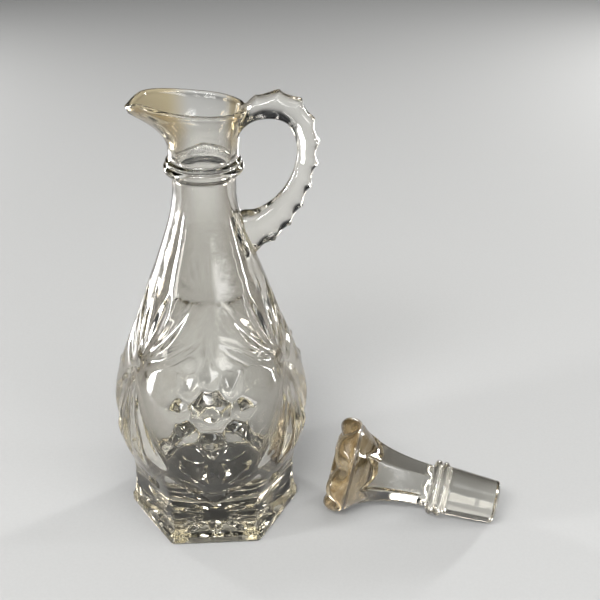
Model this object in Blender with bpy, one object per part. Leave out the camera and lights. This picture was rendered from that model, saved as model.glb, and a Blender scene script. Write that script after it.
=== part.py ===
"""An oil cruet of clear pressed glass, with its stopper lying beside it.

Dimensions are in units of the drawing, 0.9 mm each, and become metres where a mesh is made:
the rim's real height sets their size. The origin is on the floor under the middle of the
foot. +Z is up, -Y is the front, +X is the handle's side and -X the spout's. An angle round
the cruet is 0 at the front and 90 at the handle.
"""

import math

import bmesh
import bpy
from mathutils import Matrix, Vector
from mathutils.geometry import interpolate_bezier

# Driving size: the real height of the rim in metres, and its height in the drawing
REAL_RIM_HEIGHT = 0.163
RIM_HEIGHT = 181.0
UNIT = REAL_RIM_HEIGHT / RIM_HEIGHT

# Cruet: foot and body
FOOT_CORNER_RADIUS = 36.2
FOOT_EDGE_ROUND = 0.9
FOOT_BAND_HEIGHT = 3.8
WAIST_HEIGHT = 10.5
WAIST_RADIUS = 34.2
HEX_SHARPNESS = 60
HEX_ENDS_AT = 47.0
BODY_OUTLINE = (
    (WAIST_RADIUS, WAIST_HEIGHT),
    (34.5, 17.0),
    (35.8, 25.0),
    (38.1, 34.0),
    (39.8, 44.0),
    (40.1, 54.0),
    (39.1, 64.0),
    (36.4, 74.0),
    (32.3, 84.0),
    (28.0, 95.0),
    (24.1, 106.5),
    (20.2, 117.0),
    (16.4, 128.0),
    (13.6, 137.5),
    (12.3, 146.0),
    (12.2, 152.5),
)

# Cruet: neck ring, flared mouth and pouring lip
# Each roll of the ring: height and radius of its centre, its own radius, first and last angle
RING_ROLLS = ((155.9, 13.2, 2.1, -75, 66), (158.5, 13.4, 0.95, -46, 75))
NECK_OUTLINE = ((13.3, 160.2), (13.5, 165.0), (14.1, 170.0), (15.2, 175.0), (16.5, 179.2))
RIM_CENTRE_RADIUS = 15.7
RIM_ROUND = 1.35
RIM_DROP = 0.7
RIM_TILT = 1.2
LIP_REACH = 11.4
LIP_HALF_ANGLE = 90.0
LIP_STARTS_AT = 165.0
LIP_FULL_AT = 177.5
LIP_LIFT = 2.2
LIP_LIFT_ANGLE = 45.0
LIP_DROOP = 3.3
LIP_DROOP_ANGLE = 14.4
LIP_WALL = 2.4

# Cruet: the hollow inside
MOUTH_OUTLINE = ((13.9, 177.5), (12.7, 173.0), (11.6, 168.5), (11.0, 163.5), (10.6, 158.7))
BORE_OUTLINE = ((9.1, 157.1), (9.0, 152.0), (8.9, 147.0))
CAVITY_OUTLINE = (
    (8.9, 147.0),
    (9.6, 139.0),
    (12.3, 127.0),
    (16.4, 114.0),
    (22.6, 96.0),
    (28.3, 81.0),
    (32.6, 67.0),
    (34.0, 54.0),
    (32.8, 40.0),
    (28.4, 27.0),
    (21.5, 19.0),
    (12.0, 15.6),
    (0.0, 14.8),
)

# Rayed star pressed into the underside
RAY_COUNT = 12
RAY_INNER = 6.5
RAY_OUTER = 25.0
RAY_DEPTH = 1.5
RAY_HALF_WIDTH = 2.7
UNDERSIDE_STEP = 1.6

# Pressed pattern: three stars and, between them, three hubs with pointed hollows above and below
SECTORS = 3
PATTERN_RADIUS = 37.0
HUB_HEIGHT = 79.0
HUB_ACROSS = PATTERN_RADIUS * math.pi / SECTORS
CUT_SOFTNESS = 0.12
CORNER_ACROSS = HUB_ACROSS / 2
CORNER_PEAK = 41.0
CORNER_VALLEY = 20.5
CORNER_DEPTH = 1.0
CORNER_EDGE = 1.8
# Each cut: across and height of its far end, half widths on its two sides, depth
FAN_CUTS = (
    (4.5, 95.5, 3.6, 3.6, 1.5),
    (9.5, 108.5, 4.2, 4.0, 1.5),
    (24.0, 111.0, 4.2, 4.2, 1.4),
    (38.75, 108.5, 4.2, 4.2, 1.2),
)
LEAF_CUTS = (
    (17.0, 40.5, 3.6, 7.4, 2.0),
    (28.2, 37.5, 3.6, 3.8, 1.7),
    (38.75, 36.5, 3.6, 3.6, 1.7),
)
STAR_HEIGHT = 69.0
STAR_POINTS = 8
STAR_TIP = 21.0
STAR_SHOULDER = 13.2
STAR_PEAK = 11.4
STAR_RISE = 2.6
STAR_DISH = 1.5
STAR_DISH_RADIUS = 22.5
BUTTON_RADIUS = 7.6
BUTTON_TABLE = 3.6
BUTTON_RISE = 3.0
BUTTON_EDGE_RISE = 1.0

# Handle: its inner and outer edges in the plane of the handle, as curve points
HANDLE_INNER = (
    (12.0, 166.8),
    (17.2, 172.6),
    (25.0, 174.3),
    (31.8, 171.8),
    (35.1, 163.5),
    (34.1, 154.0),
    (30.3, 146.2),
    (25.0, 140.6),
    (18.6, 137.2),
    (11.2, 137.4),
)
HANDLE_OUTER = (
    (15.3, 178.6),
    (21.0, 183.2),
    (28.9, 184.9),
    (38.2, 180.4),
    (43.4, 169.0),
    (43.4, 157.0),
    (40.9, 147.0),
    (36.6, 137.0),
    (29.5, 127.2),
    (17.6, 118.6),
)
HANDLE_HALF_WIDTHS = (5.6, 4.5, 4.3, 4.6, 6.2)
HANDLE_STATIONS = 64
# Corners of the handle's section: share of the way from inner to outer edge, share of half width
HANDLE_SECTION = ((0.0, 0.42), (0.26, 1.0), (0.68, 1.0), (1.0, 0.55))
SCALLOP_COUNT = 10
SCALLOP_START = 0.066
SCALLOP_END = 0.975
SCALLOP_DEPTH = 1.5

# Stopper, along its own axis from the head's face to the plug's end
HEAD_BUTTON_RADIUS = 5.6
HEAD_OUTLINE = (
    (7.0, 2.7),
    (10.0, 2.5),
    (13.0, 1.2),
    (15.6, 0.2),
    (17.4, 0.1),
    (19.1, 1.0),
    (20.3, 3.0),
    (20.6, 5.2),
    (20.3, 7.2),
    (19.6, 8.6),
)
HEAD_RADIUS = 20.6
HEAD_LENGTH = 9.2
HEAD_NOTCH_DEPTH = 3.6
HEAD_NOTCH_DROP = 3.0
SHANK_SIDES = 6
SHANK_OUTLINE = (
    (18.5, 9.9),
    (16.1, 13.0),
    (15.0, 15.2),
    (12.8, 20.0),
    (11.1, 26.0),
    (10.0, 32.0),
    (9.3, 38.0),
    (8.9, 43.3),
)
HEAD_BACK_SLOPE = 0.8
STOPPER_ROLLS = ((45.3, 10.1, 1.7), (48.4, 10.2, 1.5))
PLUG_OUTLINE = ((10.3, 50.6), (9.2, 71.2))
PLUG_EDGE_ROUND = 0.8
STOPPER_LENGTH = 72.0
STOPPER_PLACE = (51.1, -5.8)
STOPPER_TURN = -14.3
FLOOR_CLEARANCE = 0.02

# How finely the solids are made, and the share of their facets that is kept
BODY_COLUMNS = 180
RELIEF_STEP = 1.25
PLAIN_STEP = 4.0
CRUET_KEEP = 0.115
STOPPER_COLUMNS = 48
STOPPER_KEEP = 0.42


def clear_scene():
    for obj in list(bpy.data.objects):
        bpy.data.objects.remove(obj, do_unlink=True)


def smoothstep(low, high, value):
    share = min(1.0, max(0.0, (value - low) / (high - low)))
    return share * share * (3.0 - 2.0 * share)


def soft_max(a, b, softness=CUT_SOFTNESS):
    """The larger of two values, with the corner between them rounded."""
    return 0.5 * (a + b + math.sqrt((a - b) ** 2 + softness * softness) - softness)


def smooth_points(points, step):
    """Points about one step apart on a smooth curve through an outline's points."""
    knots = [Vector((a, b, 0.0)) for a, b in points]
    ends = [2 * knots[0] - knots[1], *knots, 2 * knots[-1] - knots[-2]]
    result = [tuple(knots[0].xy)]
    for i in range(len(knots) - 1):
        before, start, end, after = ends[i : i + 4]
        length = (end - start).length
        reach_out = (end - before).normalized() * length / 3
        reach_in = (after - start).normalized() * length / 3
        count = max(1, math.ceil(length / step))
        curve = interpolate_bezier(start, start + reach_out, end - reach_in, end, count + 1)
        result += [tuple(point.xy) for point in curve[1:]]
    return result


def arc_points(centre, radius, start, end, count):
    """Points on a circle from one angle to another, in degrees from +X."""
    angles = (math.radians(start + (end - start) * i / count) for i in range(count + 1))
    return [(centre[0] + radius * math.cos(a), centre[1] + radius * math.sin(a)) for a in angles]


def hexagon_share(degrees):
    """Radius of a hexagon with rounded corners, as a share of its corner radius."""
    total = sum(
        max(0.0, math.cos(math.radians(degrees - 60 * side))) ** HEX_SHARPNESS for side in range(6)
    )
    corner = 2 * math.cos(math.radians(30)) ** HEX_SHARPNESS
    return (corner / total) ** (1 / HEX_SHARPNESS)


def lens_cut(across, height, cut):
    """Depth at one place of a pointed hollow that runs from the hub to the cut's far end."""
    end_across, end_height, half_low, half_high, depth = cut
    run = (end_across - HUB_ACROSS, end_height - HUB_HEIGHT)
    length = math.hypot(*run)
    offset = (across - HUB_ACROSS, height - HUB_HEIGHT)
    along = (offset[0] * run[0] + offset[1] * run[1]) / length**2
    if not 0.0 < along < 1.0:
        return 0.0
    side = (offset[0] * run[1] - offset[1] * run[0]) / length
    swell = 4 * along * (1 - along)
    half = (half_low if side > 0 else half_high) * swell**0.7
    share = abs(side) / half
    if share >= 1.0:
        return 0.0
    return depth * swell**0.5 * (1 - share**1.7)


def corner_recess(across, height):
    """Depth of the peaked facet that climbs each corner of the foot between two panels."""
    slope = (CORNER_PEAK - CORNER_VALLEY) / CORNER_ACROSS
    under = CORNER_PEAK - slope * abs(across - CORNER_ACROSS) - height
    fade = smoothstep(WAIST_HEIGHT + 1, CORNER_VALLEY, height)
    return CORNER_DEPTH * smoothstep(0.0, CORNER_EDGE, under) * fade


def star_rise(across, height):
    """Height of the eight-pointed star and its cut button over the dish that they stand in."""
    up = height - STAR_HEIGHT
    radius = math.hypot(across, up)
    if radius >= STAR_DISH_RADIUS:
        return 0.0
    dish = STAR_DISH * smoothstep(STAR_DISH_RADIUS, STAR_SHOULDER, radius)
    pitch = 360 / STAR_POINTS
    turn = (math.degrees(math.atan2(up, across)) + pitch / 2) % pitch - pitch / 2
    along = radius * math.cos(math.radians(turn))
    beside = abs(radius * math.sin(math.radians(turn)))
    slope = min(1.0, (BUTTON_RADIUS - along) / (BUTTON_RADIUS - BUTTON_TABLE))
    button = BUTTON_EDGE_RISE + (BUTTON_RISE - BUTTON_EDGE_RISE) * slope if slope > 0 else 0.0
    widest = STAR_SHOULDER * math.tan(math.radians(pitch / 2))
    taper = (STAR_TIP - along) / (STAR_TIP - STAR_SHOULDER)
    half = widest * min(taper, along / STAR_SHOULDER)
    inner_slope = (along - BUTTON_RADIUS) / (STAR_PEAK - BUTTON_RADIUS)
    outer_slope = (STAR_TIP - along) / (STAR_TIP - STAR_PEAK)
    ridge = STAR_RISE * min(inner_slope, outer_slope)
    point = ridge * (1 - beside / half) if half > 0 else 0.0
    return max(button, point, 0.0) - dish


def pattern_offset(degrees, height):
    """How far the pressed pattern moves the body's surface, outwards if positive."""
    sector = 360 / SECTORS
    turn = abs((degrees + sector / 2) % sector - sector / 2)
    across = PATTERN_RADIUS * math.radians(turn)
    depth = corner_recess(across, height)
    for cut in FAN_CUTS + LEAF_CUTS:
        depth = soft_max(depth, lens_cut(across, height, cut))
    return star_rise(across, height) - depth


def underside_rise(radius, degrees):
    """Depth of the rayed star's grooves in the underside."""
    if not RAY_INNER < radius < RAY_OUTER:
        return 0.0
    pitch = 360 / RAY_COUNT
    turn = (degrees + pitch / 2) % pitch - pitch / 2
    along = (radius - RAY_INNER) / (RAY_OUTER - RAY_INNER)
    swell = 4 * along * (1 - along)
    share = abs(radius * math.radians(turn)) / (RAY_HALF_WIDTH * swell + 0.01)
    return RAY_DEPTH * swell * max(0.0, 1 - share)


def lip_pull(degrees, height):
    """How far the mouth is drawn out and lifted at one place; the rim dips at the handle."""
    away = abs((degrees + 90 + 180) % 360 - 180)
    reach = max(0.0, 1 - math.sqrt(away**2 + 4) / LIP_HALF_ANGLE) ** 1.5
    share = min(1.0, max(0.0, (height - LIP_STARTS_AT) / (LIP_FULL_AT - LIP_STARTS_AT)))
    lift = RIM_TILT * math.cos(math.radians(away)) - RIM_DROP
    lift += LIP_LIFT * math.exp(-((away / LIP_LIFT_ANGLE) ** 2))
    lift -= LIP_DROOP * math.exp(-((away / LIP_DROOP_ANGLE) ** 2))
    return LIP_REACH * reach * share**1.7, lift * share**2


def outer_outline():
    """Outline of the outside, from the middle of the underside up to the top of the rim."""
    edge = FOOT_CORNER_RADIUS - FOOT_EDGE_ROUND
    steps = math.ceil(edge / UNDERSIDE_STEP)
    points = [(edge * i / steps, 0.0) for i in range(steps)]
    points += arc_points((edge, FOOT_EDGE_ROUND), FOOT_EDGE_ROUND, -90, 0, 3)
    points += [
        (FOOT_CORNER_RADIUS, FOOT_BAND_HEIGHT),
        (FOOT_CORNER_RADIUS - 0.7, FOOT_BAND_HEIGHT + 0.8),
        (WAIST_RADIUS + 0.4, WAIST_HEIGHT - 2.6),
    ]
    relief_top = max(cut[1] for cut in FAN_CUTS) + 2
    wall = smooth_points(BODY_OUTLINE, RELIEF_STEP)
    plain = [point for point in wall if point[1] > relief_top]
    points += wall[: -len(plain)] + plain[:-1:3] + plain[-1:]
    for centre, radius, roll, start, end in RING_ROLLS:
        points += arc_points((radius, centre), roll, start, end, 5)
    points += smooth_points(NECK_OUTLINE, PLAIN_STEP * 0.6)
    points += arc_points((RIM_CENTRE_RADIUS, RIM_HEIGHT - RIM_ROUND), RIM_ROUND, 20, 90, 3)
    return points


def inner_outline():
    """Outline of the hollow, from the top of the rim down to the middle of its floor."""
    points = arc_points((RIM_CENTRE_RADIUS, RIM_HEIGHT - RIM_ROUND), RIM_ROUND, 90, 190, 3)[1:]
    points += smooth_points(MOUTH_OUTLINE, PLAIN_STEP * 0.6)
    points += smooth_points(BORE_OUTLINE + CAVITY_OUTLINE[1:], PLAIN_STEP)
    return points


def turned_mesh(outline, columns):
    """A closed bmesh made by spinning an outline about Z; each vertex keeps its outline index."""
    mesh = bmesh.new()
    row = mesh.verts.layers.int.new("row")
    chain = []
    for index, (radius, height) in enumerate(outline):
        vert = mesh.verts.new((radius, 0.0, height))
        vert[row] = index
        chain.append(vert)
    edges = [mesh.edges.new(pair) for pair in zip(chain, chain[1:])]
    bmesh.ops.spin(
        mesh,
        geom=chain + edges,
        axis=(0, 0, 1),
        cent=(0, 0, 0),
        angle=math.tau,
        steps=columns,
        use_merge=True,
    )
    bmesh.ops.remove_doubles(mesh, verts=mesh.verts, dist=1e-4)
    bmesh.ops.recalc_face_normals(mesh, faces=mesh.faces)
    return mesh


def degrees_round(point):
    return math.degrees(math.atan2(point.x, -point.y))


def press_outside(point):
    """Where the mould puts one point of the turned outside."""
    radius = math.hypot(point.x, point.y)
    if radius < 1e-6:
        return point
    degrees = degrees_round(point)
    height = point.z
    in_foot = height < WAIST_HEIGHT - 0.01
    six_sided = 1 - smoothstep(WAIST_HEIGHT + 4, HEX_ENDS_AT, height)
    if in_foot and height < 0.01:
        six_sided = smoothstep(RAY_OUTER - 6, FOOT_CORNER_RADIUS - 2, radius)
    target = radius * (1 + (hexagon_share(degrees) - 1) * six_sided)
    if not in_foot:
        target += pattern_offset(degrees, height)
    elif height < 0.01:
        height += underside_rise(radius, degrees)
    pull, lift = lip_pull(degrees, height)
    scale = (target + pull) / radius
    return Vector((point.x * scale, point.y * scale, height + lift))


def press_inside(point):
    """Where one point of the hollow goes, so that the pouring lip keeps its wall."""
    radius = math.hypot(point.x, point.y)
    if radius < 1e-6:
        return point
    near_rim = smoothstep(RIM_HEIGHT - 3.5, RIM_HEIGHT - RIM_ROUND, point.z)
    pull, lift = lip_pull(degrees_round(point), point.z - LIP_WALL * (1 - near_rim))
    scale = (radius + pull) / radius
    return Vector((point.x * scale, point.y * scale, point.z + lift))


def in_pattern(vert, row, outside_rows):
    top = max(cut[1] for cut in FAN_CUTS) * UNIT
    return vert[row] < outside_rows and (WAIST_HEIGHT + 2) * UNIT < vert.co.z < top


def make_cruet_body():
    outside = outer_outline()
    mesh = turned_mesh(outside + inner_outline(), BODY_COLUMNS)
    row = mesh.verts.layers.int["row"]
    for vert in mesh.verts:
        vert.co = (press_outside if vert[row] < len(outside) else press_inside)(vert.co) * UNIT
    pressed = [vert for vert in mesh.verts if in_pattern(vert, row, len(outside))]
    bmesh.ops.smooth_vert(
        mesh, verts=pressed, factor=0.5, use_axis_x=True, use_axis_y=True, use_axis_z=True
    )
    return mesh


def read_curve(points, share):
    """The point at a share of the length of a polyline."""
    lengths = [(Vector(b) - Vector(a)).length for a, b in zip(points, points[1:])]
    left = share * sum(lengths)
    for (a, b), length in zip(zip(points, points[1:]), lengths):
        if left <= length:
            return Vector(a).lerp(Vector(b), left / length)
        left -= length
    return Vector(points[-1])


def handle_half_width(share):
    place = share * (len(HANDLE_HALF_WIDTHS) - 1)
    index = min(int(place), len(HANDLE_HALF_WIDTHS) - 2)
    blend = smoothstep(0.0, 1.0, place - index)
    return HANDLE_HALF_WIDTHS[index] * (1 - blend) + HANDLE_HALF_WIDTHS[index + 1] * blend


def scallop_depth(share):
    """Depth of the thumb cuts along the handle's outer side, zero at the ridges between them."""
    place = (share - SCALLOP_START) / (SCALLOP_END - SCALLOP_START) * SCALLOP_COUNT
    if not 0 < place < SCALLOP_COUNT:
        return 0.0
    return SCALLOP_DEPTH * 4 * (place % 1) * (1 - place % 1)


def make_handle():
    """The handle as one closed sweep, with both its ends buried in the cruet's wall."""
    inner = smooth_points(HANDLE_INNER, 0.5)
    outer = smooth_points(HANDLE_OUTER, 0.5)
    mesh = bmesh.new()
    rings = []
    for station in range(HANDLE_STATIONS + 1):
        share = station / HANDLE_STATIONS
        near = read_curve(inner, share)
        far = read_curve(outer, share)
        far = far - (far - near).normalized() * scallop_depth(share)
        half = handle_half_width(share)
        sides = []
        for sign in (-1, 1):
            corners = HANDLE_SECTION if sign < 0 else reversed(HANDLE_SECTION)
            for way, width in corners:
                place = near.lerp(far, way)
                sides.append(mesh.verts.new(Vector((place.x, sign * half * width, place.y)) * UNIT))
        rings.append(sides)
    for ring, after in zip(rings, rings[1:]):
        for i in range(len(ring)):
            j = (i + 1) % len(ring)
            mesh.faces.new((ring[i], ring[j], after[j], after[i]))
    mesh.faces.new(rings[0])
    mesh.faces.new(rings[-1])
    bmesh.ops.recalc_face_normals(mesh, faces=mesh.faces)
    return mesh


def stopper_outline():
    """Outline of the stopper from the middle of the head's face to the middle of the plug's end."""
    button = HEAD_BUTTON_RADIUS
    points = [(button * i / 3, 0.3) for i in range(3)]
    points += [(button, 0.7), (button + 0.8, 2.3)]
    points += smooth_points(HEAD_OUTLINE, 1.2)
    points.append((SHANK_OUTLINE[0][0], HEAD_LENGTH))
    points += smooth_points(SHANK_OUTLINE, 1.6)
    for centre, radius, roll in STOPPER_ROLLS:
        points += arc_points((radius, centre), roll, -70, 70, 5)
    points += PLUG_OUTLINE
    end = PLUG_OUTLINE[-1][0] - PLUG_EDGE_ROUND
    points += arc_points((end, STOPPER_LENGTH - PLUG_EDGE_ROUND), PLUG_EDGE_ROUND, 10, 90, 3)
    points += [(end * 0.5, STOPPER_LENGTH), (0.0, STOPPER_LENGTH)]
    return points


def shape_stopper_point(point):
    """Puts the head's lobes and the shank's flat sides on the turned stopper."""
    radius = math.hypot(point.x, point.y)
    if radius < 1e-6:
        return point
    degrees = math.degrees(math.atan2(point.y, point.x))
    depth = point.z
    target = radius
    start = SHANK_OUTLINE[0][1]
    end = SHANK_OUTLINE[-1][1]
    if depth < HEAD_LENGTH - 0.1:
        corner = 180 / SHANK_SIDES
        lobe = abs(math.cos(math.radians((degrees - corner) * SHANK_SIDES / 2)))
        notch = (1 - lobe**0.8) * (1 - smoothstep(0.2, 1.0, depth / HEAD_LENGTH))
        target -= HEAD_NOTCH_DEPTH * notch * smoothstep(0.45, 1.0, radius / HEAD_RADIUS)
        depth += HEAD_NOTCH_DROP * notch * smoothstep(HEAD_BUTTON_RADIUS, 14.5, radius)
    elif start < depth < end:
        flat = 1 - smoothstep(end - 4, end, depth)
        head_back = SHANK_OUTLINE[0][0] - HEAD_BACK_SLOPE * (depth - start)
        six_sided = radius * (1 + (hexagon_share(degrees) - 1) * flat)
        target = min(radius, max(six_sided, head_back))
    scale = target / radius
    return Vector((point.x * scale, point.y * scale, depth))


def stopper_place(mesh):
    """The turn that lays the stopper on the floor, on two of its head's lobes and its plug's end."""
    middle = STOPPER_LENGTH * UNIT / 2
    tilt = 0.0
    for _ in range(4):
        lay = Matrix.Rotation(math.radians(90) + tilt, 4, "Y")
        head = min((lay @ vert.co for vert in mesh.verts if vert.co.z < middle), key=lambda p: p.z)
        plug = min((lay @ vert.co for vert in mesh.verts if vert.co.z > middle), key=lambda p: p.z)
        tilt += math.atan2(plug.z - head.z, plug.x - head.x)
    lift = Matrix.Translation((0, 0, FLOOR_CLEARANCE * UNIT - min(head.z, plug.z)))
    place = Matrix.Translation(Vector((*STOPPER_PLACE, 0)) * UNIT)
    turn = Matrix.Rotation(math.radians(STOPPER_TURN), 4, "Z")
    return place @ turn @ lift @ lay


def make_stopper():
    mesh = turned_mesh(stopper_outline(), STOPPER_COLUMNS)
    for vert in mesh.verts:
        vert.co = shape_stopper_point(vert.co) * UNIT
    mesh.transform(stopper_place(mesh))
    return mesh


def glass_material():
    material = bpy.data.materials.new("clear_glass")
    material.use_nodes = True
    shader = material.node_tree.nodes["Principled BSDF"]
    shader.inputs["Base Color"].default_value = (0.95, 0.93, 0.85, 1.0)
    shader.inputs["Roughness"].default_value = 0.03
    shader.inputs["Metallic"].default_value = 0.0
    shader.inputs["IOR"].default_value = 1.52
    shader.inputs["Transmission Weight"].default_value = 1.0
    return material


def keep_share(obj, share):
    """Merges facets where the surface is nearly flat, until a share of them is left."""
    thin = obj.modifiers.new("fewer_facets", "DECIMATE")
    thin.ratio = share
    thin.use_collapse_triangulate = True


def add_object(name, mesh, material):
    data = bpy.data.meshes.new(name)
    mesh.to_mesh(data)
    mesh.free()
    data.materials.append(material)
    data.shade_smooth()
    data.set_sharp_from_angle(angle=math.radians(30))
    obj = bpy.data.objects.new(name, data)
    bpy.context.scene.collection.objects.link(obj)
    return obj


def build():
    clear_scene()
    glass = glass_material()
    handle = add_object("handle_shape", make_handle(), glass)
    handle.hide_render = True
    handle.display_type = "WIRE"
    cruet = add_object("cruet", make_cruet_body(), glass)
    keep_share(cruet, CRUET_KEEP)
    join = cruet.modifiers.new("handle", "BOOLEAN")
    join.operation = "UNION"
    join.object = handle
    stopper = add_object("stopper", make_stopper(), glass)
    keep_share(stopper, STOPPER_KEEP)


build()
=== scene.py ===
"""The looks of a pressed-glass oil cruet with its stopper lying beside it.

Dimensions are in units of the drawing, about 0.9 mm each, and become metres where a mesh is made.
+Z is up, -Y is the front, +X is the handle's side and -X the spout's. An angle round the
cruet is 0 at the front and 90 at the handle.
"""

import math
from functools import cache

import bmesh
import bpy
from mathutils import Matrix, Vector
from mathutils.bvhtree import BVHTree
from mathutils.geometry import interpolate_bezier


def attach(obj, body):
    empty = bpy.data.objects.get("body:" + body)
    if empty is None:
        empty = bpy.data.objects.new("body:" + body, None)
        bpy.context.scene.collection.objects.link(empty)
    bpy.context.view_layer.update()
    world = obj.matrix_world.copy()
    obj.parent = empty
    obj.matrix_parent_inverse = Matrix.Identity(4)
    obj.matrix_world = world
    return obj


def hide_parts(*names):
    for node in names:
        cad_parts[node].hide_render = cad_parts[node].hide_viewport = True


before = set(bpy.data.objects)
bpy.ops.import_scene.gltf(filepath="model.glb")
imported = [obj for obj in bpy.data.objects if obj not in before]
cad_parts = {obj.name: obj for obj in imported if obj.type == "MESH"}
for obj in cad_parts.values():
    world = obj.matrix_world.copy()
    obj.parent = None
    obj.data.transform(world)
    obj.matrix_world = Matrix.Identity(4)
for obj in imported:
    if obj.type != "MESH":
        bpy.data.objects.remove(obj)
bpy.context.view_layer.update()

# Driving size: the real height of the rim in metres, and its height in the drawing
REAL_RIM_HEIGHT = 0.163
RIM_HEIGHT = 181.0
UNIT = REAL_RIM_HEIGHT / RIM_HEIGHT

# Two places closer than this count as the same, in the drawing's units
CLOSE = 0.01

# Cruet: foot and body
FOOT_CORNER_RADIUS = 36.2
FOOT_EDGE_ROUND = 0.9
FOOT_BAND_HEIGHT = 3.8
WAIST_HEIGHT = 10.5
WAIST_RADIUS = 34.2
# The foot's slope: steps out and up from the top edge of its band, then from the waist
SLOPE_FROM_BAND = ((0.0, -0.5), (-0.1, 0.0), (-0.7, 0.8))
SLOPE_FROM_WAIST = ((0.9, -4.2), (0.4, -2.6))
HEX_SHARPNESS = 60
HEX_FADES_FROM = 14.5
HEX_ENDS_AT = 47.0
BODY_OUTLINE = (
    (WAIST_RADIUS, WAIST_HEIGHT),
    (34.5, 17.0),
    (35.8, 25.0),
    (38.1, 34.0),
    (39.8, 44.0),
    (40.1, 54.0),
    (39.1, 64.0),
    (36.4, 74.0),
    (32.3, 84.0),
    (28.0, 95.0),
    (24.1, 106.5),
    (20.2, 117.0),
    (16.4, 128.0),
    (13.6, 137.5),
    (12.3, 146.0),
    (12.2, 152.5),
)

# Cruet: neck ring, flared mouth and pouring lip
# Each roll of the ring: height and radius of its centre, its own radius, first and last angle
RING_ROLLS = ((155.9, 13.2, 2.1, -75, 66), (158.5, 13.4, 0.95, -46, 75))
NECK_OUTLINE = ((13.3, 160.2), (13.5, 165.0), (14.1, 170.0), (15.2, 175.0), (16.5, 179.2))
RIM_CENTRE_RADIUS = 15.7
RIM_ROUND = 1.35
RIM_DROP = 0.7
RIM_TILT = 1.2
SPOUT_ANGLE = -90.0
LIP_REACH = 11.4
LIP_HALF_ANGLE = 90.0
LIP_TIP_ROUND = 2.0
LIP_NARROWING = 1.5
LIP_FLARE = 1.7
LIP_STARTS_AT = 165.0
LIP_FULL_AT = 177.5
LIP_LIFT = 2.2
LIP_LIFT_ANGLE = 45.0
LIP_DROOP = 3.3
LIP_DROOP_ANGLE = 14.4
LIP_WALL = 2.4
LIP_WALL_FADES_FROM = 177.5

# Cruet: the hollow inside
MOUTH_OUTLINE = ((13.9, 177.5), (12.7, 173.0), (11.6, 168.5), (11.0, 163.5), (10.6, 158.7))
BORE_OUTLINE = ((9.1, 157.1), (9.0, 152.0), (8.9, 147.0))
CAVITY_OUTLINE = (
    (8.9, 147.0),
    (9.6, 139.0),
    (12.3, 127.0),
    (16.4, 114.0),
    (22.6, 96.0),
    (28.3, 81.0),
    (32.6, 67.0),
    (34.0, 54.0),
    (32.8, 40.0),
    (28.4, 27.0),
    (21.5, 19.0),
    (12.0, 15.6),
    (0.0, 14.8),
)

# Rayed star pressed into the underside
RAY_COUNT = 12
RAY_INNER = 6.5
RAY_OUTER = 25.0
RAY_DEPTH = 1.5
RAY_HALF_WIDTH = 2.7
UNDERSIDE_ROUND_TO = 19.0
UNDERSIDE_HEX_FROM = 34.2

# Pressed pattern: three stars and, between them, three hubs with pointed hollows above and below
SECTORS = 3
PATTERN_RADIUS = 37.0
HUB_HEIGHT = 79.0
HUB_ACROSS = PATTERN_RADIUS * math.pi / SECTORS
CUT_SOFTNESS = 0.12
CUT_WIDTH_CURVE = 0.7
CUT_DEPTH_CURVE = 0.5
CUT_HOLLOW_CURVE = 1.7
CORNER_ACROSS = HUB_ACROSS / 2
CORNER_PEAK = 41.0
CORNER_VALLEY = 20.5
CORNER_DEPTH = 1.0
CORNER_EDGE = 1.8
# Each cut: across and height of its far end, half widths on its two sides, depth
FAN_CUTS = (
    (4.5, 95.5, 3.6, 3.6, 1.5),
    (9.5, 108.5, 4.2, 4.0, 1.5),
    (24.0, 111.0, 4.2, 4.2, 1.4),
    (38.75, 108.5, 4.2, 4.2, 1.2),
)
LEAF_CUTS = (
    (17.0, 40.5, 3.6, 7.4, 2.0),
    (28.2, 37.5, 3.6, 3.8, 1.7),
    (38.75, 36.5, 3.6, 3.6, 1.7),
)
STAR_HEIGHT = 69.0
STAR_POINTS = 8
STAR_TIP = 21.0
STAR_SHOULDER = 13.2
STAR_PEAK = 11.4
STAR_RISE = 2.6
STAR_DISH = 1.5
STAR_DISH_RADIUS = 22.5
BUTTON_RADIUS = 7.6
BUTTON_TABLE = 3.6
BUTTON_RISE = 3.0
BUTTON_EDGE_RISE = 1.0

# Handle: its inner and outer edges in the plane of the handle, as curve points
HANDLE_INNER = (
    (12.0, 166.8),
    (17.2, 172.6),
    (25.0, 174.3),
    (31.8, 171.8),
    (35.1, 163.5),
    (34.1, 154.0),
    (30.3, 146.2),
    (25.0, 140.6),
    (18.6, 137.2),
    (11.2, 137.4),
)
HANDLE_OUTER = (
    (15.3, 178.6),
    (21.0, 183.2),
    (28.9, 184.9),
    (38.2, 180.4),
    (43.4, 169.0),
    (43.4, 157.0),
    (40.9, 147.0),
    (36.6, 137.0),
    (29.5, 127.2),
    (17.6, 118.6),
)
HANDLE_HALF_WIDTHS = (5.6, 4.5, 4.3, 4.6, 6.2)
HANDLE_SQUARENESS = 2.7
SCALLOP_COUNT = 10
SCALLOP_START = 0.066
SCALLOP_END = 0.975
SCALLOP_DEPTH = 1.5

# Stopper, along its own axis from the head's face to the plug's end
HEAD_BUTTON_RADIUS = 5.6
HEAD_BUTTON_DEPTH = 0.3
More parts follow.
